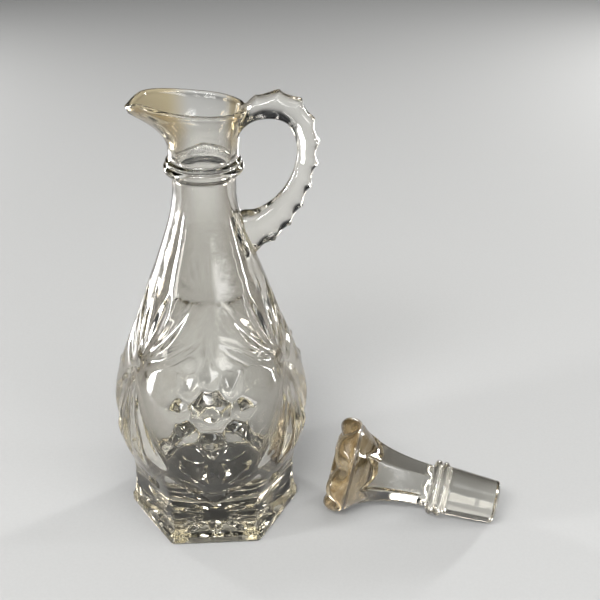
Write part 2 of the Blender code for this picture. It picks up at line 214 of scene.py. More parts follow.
# The button's edge: steps out from its radius, and depths
HEAD_BUTTON_EDGE = ((-0.3, 0.32), (0.0, 0.7), (0.5, 1.8), (0.8, 2.4))
HEAD_OUTLINE = (
    (7.0, 2.7),
    (10.0, 2.5),
    (13.0, 1.2),
    (15.6, 0.2),
    (17.4, 0.1),
    (19.1, 1.0),
    (20.3, 3.0),
    (20.6, 5.2),
    (20.3, 7.2),
    (19.6, 8.6),
)
HEAD_RADIUS = 20.6
HEAD_LENGTH = 9.2
HEAD_NOTCH_DEPTH = 3.6
HEAD_NOTCH_DROP = 3.0
HEAD_NOTCH_DROP_FULL_AT = 14.5
# Shares of the head's radius and length where its notches start and where they begin to fade
HEAD_NOTCH_STARTS_AT = 0.45
HEAD_NOTCH_FADES_FROM = 0.2
HEAD_LOBE_ROUNDNESS = 0.8
SHANK_SIDES = 6
SHANK_OUTLINE = (
    (18.5, 9.9),
    (16.1, 13.0),
    (15.0, 15.2),
    (12.8, 20.0),
    (11.1, 26.0),
    (10.0, 32.0),
    (9.3, 38.0),
    (8.9, 43.3),
)
SHANK_ROUNDS_OVER = 4.0
HEAD_BACK_SLOPE = 0.8
STOPPER_ROLLS = ((45.3, 10.1, 1.7), (48.4, 10.2, 1.5))
PLUG_OUTLINE = ((10.3, 50.6), (9.2, 71.2))
PLUG_EDGE_ROUND = 0.8
STOPPER_LENGTH = 72.0
STOPPER_PLACE = (51.1, -5.8)
STOPPER_TURN = -14.3
FLOOR_CLEARANCE = 0.02

# How finely the pieces are made
BODY_COLUMNS = 312
RELIEF_STEP = 0.95
RELIEF_MARGIN = 2.0
PLAIN_STEP = 3.2
MOUTH_STEP = 1.6
UNDERSIDE_STEP = 1.3
RELIEF_SMOOTHING = 1
BACK_SMOOTHING = 10
BACK_SMOOTH_BEHIND = 26.0
BACK_SMOOTH_ABOVE = 72.0
HANDLE_STEP = 0.5
SCALLOP_STATIONS = 14
HANDLE_SIDES = 28
JOINT_ROUND = 1.5
JOINT_SMOOTHING = 6
STOPPER_COLUMNS = 180
STOPPER_STEP = 0.5
PLUG_STEP = 1.5
WELD_DISTANCE = 1e-4
SLIVER_IN_METRES = 2e-6

# Colours of the glass, its painted edge-on shade, and how much lamp light its shadow lets through
GLASS_IOR = 1.5
GLASS_TINT = (0.98, 0.975, 0.95, 1.0)
PAINTED_EDGE_SHADE = (0.25, 0.21, 0.16, 1.0)
EDGE_SHADE_CURVE = 1.5
SPOUT_TINT = (0.93, 0.76, 0.42, 1.0)
SPOUT_TINT_SHARE = 0.8
SHADOW_TINT = (0.97, 0.96, 0.93, 1.0)
THICK_GLASS_TINT = (0.93, 0.85, 0.58, 1.0)
THICK_GLASS_DENSITY = 10.0
LAMP_LIGHT_THROUGH = 0.4
NECK_LIGHT_THROUGH = 0.97

# Surface of the glass: noise scales per metre, bump depths in metres, and roughness
CRUET_SWIRL_SCALE = 55.0
CRUET_SWIRL_DEPTH = 0.00035
CRUET_RIPPLE_SCALE = 260.0
CRUET_RIPPLE_DEPTH = 0.00004
CRUET_GRAIN_SCALE = 1900.0
CRUET_GRAIN_DEPTH = 0.0016
STOPPER_SWIRL_SCALE = 90.0
STOPPER_SWIRL_DEPTH = 0.00022
STOPPER_RIPPLE_SCALE = 420.0
STOPPER_RIPPLE_DEPTH = 0.00003
STOPPER_BLOTCH_SCALE = 240.0
SMOOTH_ROUGHNESS = 0.012
RIPPLE_ROUGHNESS = 0.02
SEAT_ROUGHNESS = 0.25
WEAR_ROUGHNESS = 0.2
STAIN_ROUGHNESS = 0.06

# Ground seat in the neck; a pair says where something is absent and where it is full
SEAT_TINT = (1.0, 1.0, 0.98, 1.0)
SEAT_FOOT = (156.4, 156.8)
SEAT_TOP = 157.9
SEAT_TOP_EDGE = (0.4, -0.4)
SEAT_TOP_RAGGEDNESS = 2.4
SEAT_BACK_RISE = 1.6
SEAT_BACK = (6.0, 10.6)
SEAT_RADII = (11.5, 11.2)

# Where the cruet's foot is worn, its glass straw-coloured, and its neck lets more light through
WEAR_HEIGHTS = (1.2, 0.2)
WEAR_RADII = (30.0, 34.0)
WARM_HEIGHTS = (160.0, 168.0)
WARM_AT_SPOUT = (-4.0, -14.0)
WARM_BEFORE_HANDLE = (8.0, 13.0)
WARM_PAST_HANDLE = (18.0, 15.0)
NECK_LIGHT_HEIGHTS = (150.0, 158.0)

# Stain and crust on the stopper's head and painted shade where it meets the shank, by depth from
# its face
STAIN_TINT = (0.66, 0.44, 0.20, 1.0)
STAIN_DEPTHS = (9.6, 8.6)
DARK_CRUST_TINT = (0.36, 0.24, 0.10, 1.0)
PALE_CRUST_TINT = (0.70, 0.54, 0.30, 1.0)
CRUST_ROUGHNESS = 0.35
CRUST_TRANSMISSION = 0.05
# Painted shade: a dark line round the stopper where its head steps into the shank
SEAM_SHADE_TINT = (0.055, 0.04, 0.025, 1.0)
SEAM_SHADE_NEAR_DEPTHS = (8.4, 8.9)
SEAM_SHADE_FAR_DEPTHS = (10.4, 9.8)

# The floor, in metres
FLOOR_REACH = 6.0
FLOOR_DROP = 0.0002
FLOOR_GRAIN_SCALE = 900.0
FLOOR_SHADES = ((0.56, 0.56, 0.55, 1.0), (0.60, 0.60, 0.59, 1.0))

# The lamps: heights they are aimed at in metres, share of a side that fades, and gain for it
BODY_AIM = 0.08
FOOT_AIM = 0.042
LAMP_FADE = 0.3
LAMP_GAIN = 2.0

# The photograph's camera, fitted to the foot, ring and mouth
CAMERA_TURN = 1.2
CAMERA_DISTANCE = 382.37
CAMERA_HEIGHT = 300.94
CAMERA_YAW = 5.5216
CAMERA_PITCH = 27.952
CAMERA_ROLL = -0.4746
CAMERA_LENS = 64.31
CAMERA_SENSOR = 36.0


def smoothstep(low, high, value):
    share = min(1.0, max(0.0, (value - low) / (high - low)))
    return share * share * (3.0 - 2.0 * share)


def soft_max(a, b, softness=CUT_SOFTNESS):
    """The larger of two values, with the corner between them rounded."""
    return 0.5 * (a + b + math.sqrt((a - b) ** 2 + softness * softness) - softness)


def smooth_points(points, step):
    """Points about one step apart on a smooth curve through an outline's points."""
    knots = [Vector((a, b, 0.0)) for a, b in points]
    ends = [2 * knots[0] - knots[1], *knots, 2 * knots[-1] - knots[-2]]
    result = [tuple(knots[0].xy)]
    for i in range(len(knots) - 1):
        before, start, end, after = ends[i : i + 4]
        length = (end - start).length
        reach_out = (end - before).normalized() * length / 3
        reach_in = (after - start).normalized() * length / 3
        count = max(1, math.ceil(length / step))
        curve = interpolate_bezier(start, start + reach_out, end - reach_in, end, count + 1)
        result += [tuple(point.xy) for point in curve[1:]]
    return result


def arc_points(centre, radius, start, end, count):
    """Points on a circle from one angle to another, in degrees from +X."""
    angles = (math.radians(start + (end - start) * i / count) for i in range(count + 1))
    return [(centre[0] + radius * math.cos(a), centre[1] + radius * math.sin(a)) for a in angles]


@cache
def hexagon_share(degrees):
    """Radius of a hexagon with rounded corners, as a share of its corner radius."""
    total = sum(
        max(0.0, math.cos(math.radians(degrees - 60 * side))) ** HEX_SHARPNESS for side in range(6)
    )
    corner = 2 * math.cos(math.radians(30)) ** HEX_SHARPNESS
    return (corner / total) ** (1 / HEX_SHARPNESS)


def lens_cut(across, height, cut):
    """Depth at one place of a pointed hollow that runs from the hub to the cut's far end."""
    end_across, end_height, half_low, half_high, depth = cut
    run = (end_across - HUB_ACROSS, end_height - HUB_HEIGHT)
    length = math.hypot(*run)
    offset = (across - HUB_ACROSS, height - HUB_HEIGHT)
    along = (offset[0] * run[0] + offset[1] * run[1]) / length**2
    if not 0.0 < along < 1.0:
        return 0.0
    side = (offset[0] * run[1] - offset[1] * run[0]) / length
    swell = 4 * along * (1 - along)
    half = (half_low if side > 0 else half_high) * swell**CUT_WIDTH_CURVE
    share = abs(side) / half
    if share >= 1.0:
        return 0.0
    return depth * swell**CUT_DEPTH_CURVE * (1 - share**CUT_HOLLOW_CURVE)


def corner_recess(across, height):
    """Depth of the peaked facet that climbs each corner of the foot between two panels."""
    slope = (CORNER_PEAK - CORNER_VALLEY) / CORNER_ACROSS
    under = CORNER_PEAK - slope * abs(across - CORNER_ACROSS) - height
    fade = smoothstep(WAIST_HEIGHT + 1, CORNER_VALLEY, height)
    return CORNER_DEPTH * smoothstep(0.0, CORNER_EDGE, under) * fade


def star_rise(across, height):
    """Height of the eight-pointed star and its cut button over the dish that they stand in."""
    up = height - STAR_HEIGHT
    radius = math.hypot(across, up)
    if radius >= STAR_DISH_RADIUS:
        return 0.0
    dish = STAR_DISH * smoothstep(STAR_DISH_RADIUS, STAR_SHOULDER, radius)
    pitch = 360 / STAR_POINTS
    turn = (math.degrees(math.atan2(up, across)) + pitch / 2) % pitch - pitch / 2
    along = radius * math.cos(math.radians(turn))
    beside = abs(radius * math.sin(math.radians(turn)))
    slope = min(1.0, (BUTTON_RADIUS - along) / (BUTTON_RADIUS - BUTTON_TABLE))
    button = BUTTON_EDGE_RISE + (BUTTON_RISE - BUTTON_EDGE_RISE) * slope if slope > 0 else 0.0
    widest = STAR_SHOULDER * math.tan(math.radians(pitch / 2))
    taper = (STAR_TIP - along) / (STAR_TIP - STAR_SHOULDER)
    half = widest * min(taper, along / STAR_SHOULDER)
    inner_slope = (along - BUTTON_RADIUS) / (STAR_PEAK - BUTTON_RADIUS)
    outer_slope = (STAR_TIP - along) / (STAR_TIP - STAR_PEAK)
    ridge = STAR_RISE * min(inner_slope, outer_slope)
    point = ridge * (1 - beside / half) if half > 0 else 0.0
    return max(button, point, 0.0) - dish


def pattern_offset(degrees, height):
    """How far the pressed pattern moves the body's surface, outwards if positive."""
    sector = 360 / SECTORS
    turn = abs((degrees + sector / 2) % sector - sector / 2)
    across = PATTERN_RADIUS * math.radians(turn)
    depth = corner_recess(across, height)
    for cut in FAN_CUTS + LEAF_CUTS:
        depth = soft_max(depth, lens_cut(across, height, cut))
    return star_rise(across, height) - depth


def underside_rise(radius, degrees):
    """Depth of the rayed star's grooves in the underside."""
    if not RAY_INNER < radius < RAY_OUTER:
        return 0.0
    pitch = 360 / RAY_COUNT
    turn = (degrees + pitch / 2) % pitch - pitch / 2
    along = (radius - RAY_INNER) / (RAY_OUTER - RAY_INNER)
    swell = 4 * along * (1 - along)
    share = abs(radius * math.radians(turn)) / (RAY_HALF_WIDTH * swell + CLOSE)
    return RAY_DEPTH * swell * max(0.0, 1 - share)


def lip_pull(degrees, height):
    """How far the mouth is drawn out and lifted at one place; the rim dips at the handle."""
    away = abs((degrees - SPOUT_ANGLE + 180) % 360 - 180)
    blunt = math.sqrt(away**2 + LIP_TIP_ROUND**2)
    reach = max(0.0, 1 - blunt / LIP_HALF_ANGLE) ** LIP_NARROWING
    share = min(1.0, max(0.0, (height - LIP_STARTS_AT) / (LIP_FULL_AT - LIP_STARTS_AT)))
    lift = RIM_TILT * math.cos(math.radians(away)) - RIM_DROP
    lift += LIP_LIFT * math.exp(-((away / LIP_LIFT_ANGLE) ** 2))
    lift -= LIP_DROOP * math.exp(-((away / LIP_DROOP_ANGLE) ** 2))
    return LIP_REACH * reach * share**LIP_FLARE, lift * share**2


def outer_outline():
    """Outline of the outside, from the middle of the underside up to the top of the rim."""
    edge = FOOT_CORNER_RADIUS - FOOT_EDGE_ROUND
    steps = math.ceil(edge / UNDERSIDE_STEP)
    points = [(edge * i / steps, 0.0) for i in range(steps)]
    points += arc_points((edge, FOOT_EDGE_ROUND), FOOT_EDGE_ROUND, -90, 0, count=5)
    points += [(FOOT_CORNER_RADIUS + out, FOOT_BAND_HEIGHT + up) for out, up in SLOPE_FROM_BAND]
    points += [(WAIST_RADIUS + out, WAIST_HEIGHT + up) for out, up in SLOPE_FROM_WAIST]
    relief_top = max(cut[1] for cut in FAN_CUTS) + RELIEF_MARGIN
    wall = smooth_points(BODY_OUTLINE, RELIEF_STEP)
    plain = [point for point in wall if point[1] > relief_top]
    points += wall[: -len(plain)] + plain[:-1:2] + plain[-1:]
    for centre, radius, roll, start, end in RING_ROLLS:
        points += arc_points((radius, centre), roll, start, end, count=8)
    points += smooth_points(NECK_OUTLINE, MOUTH_STEP)
    rim_centre = (RIM_CENTRE_RADIUS, RIM_HEIGHT - RIM_ROUND)
    points += arc_points(rim_centre, RIM_ROUND, 20, 90, count=4)
    return points


def inner_outline():
    """Outline of the hollow, from the top of the rim down to the middle of its floor."""
    rim_centre = (RIM_CENTRE_RADIUS, RIM_HEIGHT - RIM_ROUND)
    points = arc_points(rim_centre, RIM_ROUND, 90, 190, count=5)[1:]
    points += smooth_points(MOUTH_OUTLINE, MOUTH_STEP)
    points += smooth_points(BORE_OUTLINE + CAVITY_OUTLINE[1:], PLAIN_STEP)
    return points


def turned_mesh(outline, columns):
    """A closed bmesh made by spinning an outline about Z; each vertex keeps its outline index."""
    mesh = bmesh.new()
    row = mesh.verts.layers.int.new("row")
    chain = []
    for index, (radius, height) in enumerate(outline):
        vert = mesh.verts.new((radius, 0.0, height))
        vert[row] = index
        chain.append(vert)
    edges = [mesh.edges.new(pair) for pair in zip(chain, chain[1:])]
    bmesh.ops.spin(
        mesh,
        geom=chain + edges,
        axis=(0, 0, 1),
        cent=(0, 0, 0),
        angle=math.tau,
        steps=columns,
        use_merge=True,
    )
    bmesh.ops.remove_doubles(mesh, verts=mesh.verts, dist=WELD_DISTANCE)
    bmesh.ops.recalc_face_normals(mesh, faces=mesh.faces)
    return mesh


def degrees_round(point):
    """The angle of a point round the cruet, in degrees."""
    return round(math.degrees(math.atan2(point.x, -point.y)), 3)


def press_outside(point):
    """Where the mould puts one point of the turned outside."""
    radius = math.hypot(point.x, point.y)
    if radius < CLOSE:
        return point
    degrees = degrees_round(point)
    height = point.z
    in_foot = height < WAIST_HEIGHT - CLOSE
    in_underside = height < CLOSE
    six_sided = 1 - smoothstep(HEX_FADES_FROM, HEX_ENDS_AT, height)
    if in_underside:
        six_sided = smoothstep(UNDERSIDE_ROUND_TO, UNDERSIDE_HEX_FROM, radius)
    target = radius * (1 + (hexagon_share(degrees) - 1) * six_sided)
    if not in_foot:
        target += pattern_offset(degrees, height)
    elif in_underside:
        height += underside_rise(radius, degrees)
    pull, lift = lip_pull(degrees, height)
    scale = (target + pull) / radius
    return Vector((point.x * scale, point.y * scale, height + lift))


def press_inside(point):
    """Where one point of the hollow goes, so that the pouring lip keeps its wall."""
    radius = math.hypot(point.x, point.y)
    if radius < CLOSE:
        return point
    near_rim = smoothstep(LIP_WALL_FADES_FROM, RIM_HEIGHT - RIM_ROUND, point.z)
    pull, lift = lip_pull(degrees_round(point), point.z - LIP_WALL * (1 - near_rim))
    scale = (radius + pull) / radius
    return Vector((point.x * scale, point.y * scale, point.z + lift))


def smooth(mesh, verts, times):
    for _ in range(times):
        bmesh.ops.smooth_vert(
            mesh, verts=verts, factor=0.5, use_axis_x=True, use_axis_y=True, use_axis_z=True
        )


def make_cruet_body():
    """The turned body with its pattern pressed in, smoothed more where the back shows through."""
    outside = outer_outline()
    mesh = turned_mesh(outside + inner_outline(), BODY_COLUMNS)
    row = mesh.verts.layers.int["row"]
    for vert in mesh.verts:
        vert.co = (press_outside if vert[row] < len(outside) else press_inside)(vert.co)
    low = WAIST_HEIGHT + CLOSE
    high = BODY_OUTLINE[-1][1] - CLOSE
    pressed = [v for v in mesh.verts if v[row] < len(outside) and low < v.co.z < high]
    smooth(mesh, pressed, RELIEF_SMOOTHING)
    back = [v for v in pressed if v.co.y > BACK_SMOOTH_BEHIND and v.co.z > BACK_SMOOTH_ABOVE]
    smooth(mesh, back, BACK_SMOOTHING)
    return mesh


def read_curve(points, share):
    """The point at a share of the length of a polyline."""
    lengths = [(Vector(b) - Vector(a)).length for a, b in zip(points, points[1:])]
    left = share * sum(lengths)
    for (a, b), length in zip(zip(points, points[1:]), lengths):
        if left <= length:
            return Vector(a).lerp(Vector(b), left / length)
        left -= length
    return Vector(points[-1])


def handle_half_width(share):
    """Half the handle's thickness at a share of its length."""
    place = share * (len(HANDLE_HALF_WIDTHS) - 1)
    index = min(int(place), len(HANDLE_HALF_WIDTHS) - 2)
    blend = smoothstep(0.0, 1.0, place - index)
    return HANDLE_HALF_WIDTHS[index] * (1 - blend) + HANDLE_HALF_WIDTHS[index + 1] * blend


def scallop_depth(share):
    """Depth of the thumb cuts along the handle's outer side, zero at the ridges between them."""
    place = (share - SCALLOP_START) / (SCALLOP_END - SCALLOP_START) * SCALLOP_COUNT
    if not 0 < place < SCALLOP_COUNT:
        return 0.0
    return SCALLOP_DEPTH * 4 * (place % 1) * (1 - place % 1)


def handle_shares():
    """Shares of the handle's length where it has a section, one of them on every ridge."""
    step = (SCALLOP_END - SCALLOP_START) / SCALLOP_COUNT / SCALLOP_STATIONS
    before = math.ceil(SCALLOP_START / step)
    shares = [SCALLOP_START * i / before for i in range(before)]
    shares += [SCALLOP_START + step * i for i in range(SCALLOP_COUNT * SCALLOP_STATIONS + 1)]
    return shares + [1.0]


def make_handle():
    """The handle: a straight rounded bar, bent along its curves, with both ends in the wall."""
    inner = smooth_points(HANDLE_INNER, HANDLE_STEP)
    outer = smooth_points(HANDLE_OUTER, HANDLE_STEP)
    shares = handle_shares()
    mesh = bmesh.new()
    section = bmesh.ops.create_circle(mesh, segments=HANDLE_SIDES, radius=1.0)["verts"]
    bmesh.ops.spin(
        mesh,
        geom=section + list(mesh.edges),
        axis=(0, 0, 1),
        cent=(0, 0, 0),
        dvec=(0, 0, 1),
        angle=0,
        steps=len(shares) - 1,
    )
    bmesh.ops.holes_fill(mesh, edges=mesh.edges, sides=HANDLE_SIDES)
    power = 2 / HANDLE_SQUARENESS
    for vert in mesh.verts:
        share = shares[round(vert.co.z)]
        near = read_curve(inner, share)
        far = read_curve(outer, share)
        far = far - (far - near).normalized() * scallop_depth(share)
        way = 0.5 + 0.5 * math.copysign(abs(vert.co.x) ** power, vert.co.x)
        side = math.copysign(abs(vert.co.y) ** power, vert.co.y) * handle_half_width(share)
        place = near.lerp(far, way)
        vert.co = (place.x, side, place.y)
    bmesh.ops.recalc_face_normals(mesh, faces=mesh.faces)
    return mesh


def stopper_outline():
    """Outline of the stopper, from the middle of its face to the middle of the plug's end."""
    button = HEAD_BUTTON_RADIUS
    points = [(button * i / 5, HEAD_BUTTON_DEPTH) for i in range(5)]
    points += [(button + out, depth) for out, depth in HEAD_BUTTON_EDGE]
    points += smooth_points(HEAD_OUTLINE, STOPPER_STEP)
    points.append((SHANK_OUTLINE[0][0], HEAD_LENGTH))
    points += smooth_points(SHANK_OUTLINE, STOPPER_STEP)
    for centre, radius, roll in STOPPER_ROLLS:
        points += arc_points((radius, centre), roll, -70, 70, count=9)
    points += smooth_points(PLUG_OUTLINE, PLUG_STEP)
    end = PLUG_OUTLINE[-1][0] - PLUG_EDGE_ROUND
    edge_centre = (end, STOPPER_LENGTH - PLUG_EDGE_ROUND)
    points += arc_points(edge_centre, PLUG_EDGE_ROUND, 10, 90, count=6)
    points += [(end * i / 5, STOPPER_LENGTH) for i in range(4, -1, -1)]
    return points


def shape_stopper_point(point):
    """Puts the head's lobes and the shank's flat sides on the turned stopper."""
    radius = math.hypot(point.x, point.y)
    if radius < CLOSE:
        return point
    degrees = round(math.degrees(math.atan2(point.y, point.x)), 3)
    depth = point.z
    target = radius
    start = SHANK_OUTLINE[0][1]
    end = SHANK_OUTLINE[-1][1]
    if depth < HEAD_LENGTH - CLOSE:
        corner = 180 / SHANK_SIDES
        lobe = abs(math.cos(math.radians((degrees - corner) * SHANK_SIDES / 2)))
        fade = 1 - smoothstep(HEAD_NOTCH_FADES_FROM, 1.0, depth / HEAD_LENGTH)
        notch = (1 - lobe**HEAD_LOBE_ROUNDNESS) * fade
        cut = smoothstep(HEAD_NOTCH_STARTS_AT, 1.0, radius / HEAD_RADIUS)
        drop = smoothstep(HEAD_BUTTON_RADIUS, HEAD_NOTCH_DROP_FULL_AT, radius)
        target -= HEAD_NOTCH_DEPTH * notch * cut
        depth += HEAD_NOTCH_DROP * notch * drop
    elif start < depth < end:
        flat = 1 - smoothstep(end - SHANK_ROUNDS_OVER, end, depth)
        head_back = SHANK_OUTLINE[0][0] - HEAD_BACK_SLOPE * (depth - start)
        six_sided = radius * (1 + (hexagon_share(degrees) - 1) * flat)
        target = min(radius, max(six_sided, head_back))
    scale = target / radius
    return Vector((point.x * scale, point.y * scale, depth))


def stopper_place(mesh):
    """The turn that lays the stopper on the floor, on two lobes of its head and its plug's end."""
    middle = STOPPER_LENGTH / 2
    tilt = 0.0
    for _ in range(4):
        lay = Matrix.Rotation(math.radians(90) + tilt, 4, "Y")
        head = min((lay @ vert.co for vert in mesh.verts if vert.co.z < middle), key=lambda p: p.z)
        plug = min((lay @ vert.co for vert in mesh.verts if vert.co.z > middle), key=lambda p: p.z)
        tilt += math.atan2(plug.z - head.z, plug.x - head.x)
    lift = Matrix.Translation((0, 0, FLOOR_CLEARANCE - min(head.z, plug.z)))
    place = Matrix.Translation((*STOPPER_PLACE, 0))
    turn = Matrix.Rotation(math.radians(STOPPER_TURN), 4, "Z")
    return place @ turn @ lift @ lay


def make_stopper():
    """The stopper's mesh, lying in its place, and the turn that put it there."""
    mesh = turned_mesh(stopper_outline(), STOPPER_COLUMNS)
    for vert in mesh.verts:
        vert.co = shape_stopper_point(vert.co)
    head = [v for v in mesh.verts if v.co.z < SHANK_OUTLINE[-1][1]]
    smooth(mesh, head, 1)
    place = stopper_place(mesh)
    mesh.transform(place)
    return mesh, place


def to_object(name, mesh):
    """An object at the origin from a bmesh in the drawing's units."""
    mesh.transform(Matrix.Scale(UNIT, 4))
    data = bpy.data.meshes.new(name)
    mesh.to_mesh(data)
    mesh.free()
    data.shade_smooth()
    obj = bpy.data.objects.new(name, data)
    bpy.context.scene.collection.objects.link(obj)
    return obj


def surface_of(obj):
    mesh = bmesh.new()
    mesh.from_mesh(obj.data)
    tree = BVHTree.FromBMesh(mesh)
    mesh.free()
    return tree


def join_with_round(body, handle):
    """Unites body and handle, then rounds the corner where they meet."""
    surfaces = surface_of(body), surface_of(handle)
    union = body.modifiers.new("handle", "BOOLEAN")
    union.operation = "UNION"
    union.object = handle
    union.solver = "EXACT"
    graph = bpy.context.evaluated_depsgraph_get()
    mesh = bmesh.new()
    mesh.from_object(body, graph)
    body.modifiers.clear()
    bpy.data.objects.remove(handle)
    bmesh.ops.dissolve_degenerate(mesh, dist=SLIVER_IN_METRES, edges=mesh.edges)
    reach = JOINT_ROUND * UNIT
    near = [
        vert
        for vert in mesh.verts
        if all(tree.find_nearest(vert.co, reach)[0] is not None for tree in surfaces)
    ]
    smooth(mesh, near, JOINT_SMOOTHING)
    bmesh.ops.recalc_face_normals(mesh, faces=mesh.faces)
    mesh.to_mesh(body.data)
    mesh.free()
    body.data.shade_smooth()
    return body


class Value:
    """A shader socket that can be used in arithmetic; each operation adds a Math node."""

    def __init__(self, nodes, socket):
        self.nodes = nodes
        self.socket = socket

    def math(self, operation, other):
        return self.nodes.add("ShaderNodeMath", [self, other], {"operation": operation})

    def __add__(self, other):
        return self.math("ADD", other)

    def __radd__(self, other):
        return self.math("ADD", other)

    def __sub__(self, other):
        return self.math("SUBTRACT", other)

    def __rsub__(self, other):
        return self.nodes.add("ShaderNodeMath", [other, self], {"operation": "SUBTRACT"})

    def __mul__(self, other):
        return self.math("MULTIPLY", other)

    def __rmul__(self, other):
        return self.math("MULTIPLY", other)

    def __pow__(self, other):
        return self.math("POWER", other)

    def between(self, low, high):
        """0 below low, 1 above high, and a smooth step between; high may be the lower one."""
        sockets = {"Value": self, "From Min": low, "From Max": high}
        return self.nodes.add("ShaderNodeMapRange", sockets, {"interpolation_type": "SMOOTHSTEP"})

    def between_sizes(self, sizes):
        """The same step for a value in metres, from one size of the drawing to another."""
        low, high = sizes
        return self.between(low * UNIT, high * UNIT)


class Nodes:
    """The node tree of one material or lamp."""

    def __init__(self, owner):
        owner.use_nodes = True
        self.owner = owner
        self.tree = owner.node_tree
        self.tree.nodes.clear()

    def add(self, kind, sockets=(), settings=None, output=0):
        """A node of a kind, with its settings, then the values or links of its sockets."""
        node = self.tree.nodes.new(kind)
        for key, value in (settings or {}).items():
            setattr(node, key, value)
        given = sockets.items() if isinstance(sockets, dict) else enumerate(sockets)
        for key, value in given:
            socket = node.inputs[key]
            if isinstance(value, Value):
                self.tree.links.new(value.socket, socket)
            else:
                socket.default_value = value
        return Value(self, node.outputs[output]) if len(node.outputs) else node

    def axis(self, vector, letter):
        return self.add("ShaderNodeSeparateXYZ", [vector], output=letter)

    def mix_colour(self, factor, first, second):
        sockets = {0: factor, 6: first, 7: second}
        return self.add("ShaderNodeMix", sockets, {"data_type": "RGBA"}, output=2)

    def noise(self, place, scale, detail=2.0, roughness=0.5):
        sockets = {"Vector": place, "Scale": scale, "Detail": detail, "Roughness": roughness}
        return self.add("ShaderNodeTexNoise", sockets, {"noise_dimensions": "3D"})

    def bump(self, height, distance, before=None):
        sockets = {"Height": height, "Distance": distance, "Strength": 1.0}
        if before is not None:
            sockets["Normal"] = before
        return self.add("ShaderNodeBump", sockets)

    def glass(self, colour, rough, transmission, normal):
        sockets = {
            "Base Color": colour,
            "Roughness": rough,
            "IOR": GLASS_IOR,
            "Transmission Weight": transmission,
            "Normal": normal,
        }
        return self.add("ShaderNodeBsdfPrincipled", sockets)


def finish_glass(nodes, tint, rough, normal, crust_tint, crust_share, light_through):
    """Clear glass, straw-coloured where it is thick, with a matt crust on a share of it."""
    edge_on = nodes.add("ShaderNodeLayerWeight", {"Blend": 0.75}, output="Facing")
    # Painted shade: the glass's colour is mixed towards a dark brown where its surface is seen
    # edge-on
    colour = nodes.mix_colour(edge_on**EDGE_SHADE_CURVE, tint, PAINTED_EDGE_SHADE)
    glass = nodes.glass(colour, rough, 1.0, normal)
    crust = nodes.glass(crust_tint, CRUST_ROUGHNESS, CRUST_TRANSMISSION, normal)
    skin = nodes.add("ShaderNodeMixShader", [crust_share, glass, crust])
    shadow_ray = nodes.add("ShaderNodeLightPath", output="Is Shadow Ray")
    share = shadow_ray * light_through * (1 - edge_on**2)
    clear = nodes.add("ShaderNodeBsdfTransparent", {"Color": SHADOW_TINT})
    surface = nodes.add("ShaderNodeMixShader", [share, skin, clear])
    sockets = {"Color": THICK_GLASS_TINT, "Density": THICK_GLASS_DENSITY}
    inside = nodes.add("ShaderNodeVolumeAbsorption", sockets)
    nodes.add("ShaderNodeOutputMaterial", {"Surface": surface, "Volume": inside})
    return nodes.owner


def cruet_glass():
    """Glass with a straw tint beside the spout and the handle, and a ground seat in the neck."""
    nodes = Nodes(bpy.data.materials.new("clear_glass"))
    place = nodes.add("ShaderNodeTexCoord", output="Object")
    across, back, height = (nodes.axis(place, letter) for letter in "XYZ")
    level = nodes.add("ShaderNodeVectorMath", [place, (1, 1, 0)], {"operation": "MULTIPLY"})
    radius = nodes.add("ShaderNodeVectorMath", [level], {"operation": "LENGTH"}, output="Value")
    swirl = nodes.noise(place, CRUET_SWIRL_SCALE)
    ripple = nodes.noise(place, CRUET_RIPPLE_SCALE)
    grain = nodes.noise(place, CRUET_GRAIN_SCALE, detail=3.0)

    top = SEAT_TOP * UNIT + SEAT_BACK_RISE * UNIT * back.between_sizes(SEAT_BACK)
    top = top + SEAT_TOP_RAGGEDNESS * UNIT * (grain - 0.5)
    seat = height.between_sizes(SEAT_FOOT) * (height - top).between_sizes(SEAT_TOP_EDGE)
    seat = seat * radius.between_sizes(SEAT_RADII)
    seat_crust = seat * (0.6 + 0.4 * grain.between(0.47, 0.5))

    wear = height.between_sizes(WEAR_HEIGHTS) * radius.between_sizes(WEAR_RADII)
    wear = wear * grain.between(0.35, 0.6)
    rough = SMOOTH_ROUGHNESS + RIPPLE_ROUGHNESS * ripple.between(0.45, 0.75)
    rough = rough + SEAT_ROUGHNESS * seat + WEAR_ROUGHNESS * wear
    waves = nodes.bump(swirl, CRUET_SWIRL_DEPTH)
    skin = nodes.bump(ripple, CRUET_RIPPLE_DEPTH, waves)
    normal = nodes.bump(grain * seat, CRUET_GRAIN_DEPTH, skin)

    by_handle = across.between_sizes(WARM_BEFORE_HANDLE) * across.between_sizes(WARM_PAST_HANDLE)
    warm = height.between_sizes(WARM_HEIGHTS) * (across.between_sizes(WARM_AT_SPOUT) + by_handle)
    tint = nodes.mix_colour(warm * SPOUT_TINT_SHARE, GLASS_TINT, SPOUT_TINT)
    neck = height.between_sizes(NECK_LIGHT_HEIGHTS)
    light_through = LAMP_LIGHT_THROUGH + (NECK_LIGHT_THROUGH - LAMP_LIGHT_THROUGH) * neck
    return finish_glass(nodes, tint, rough, normal, SEAT_TINT, seat_crust, light_through)


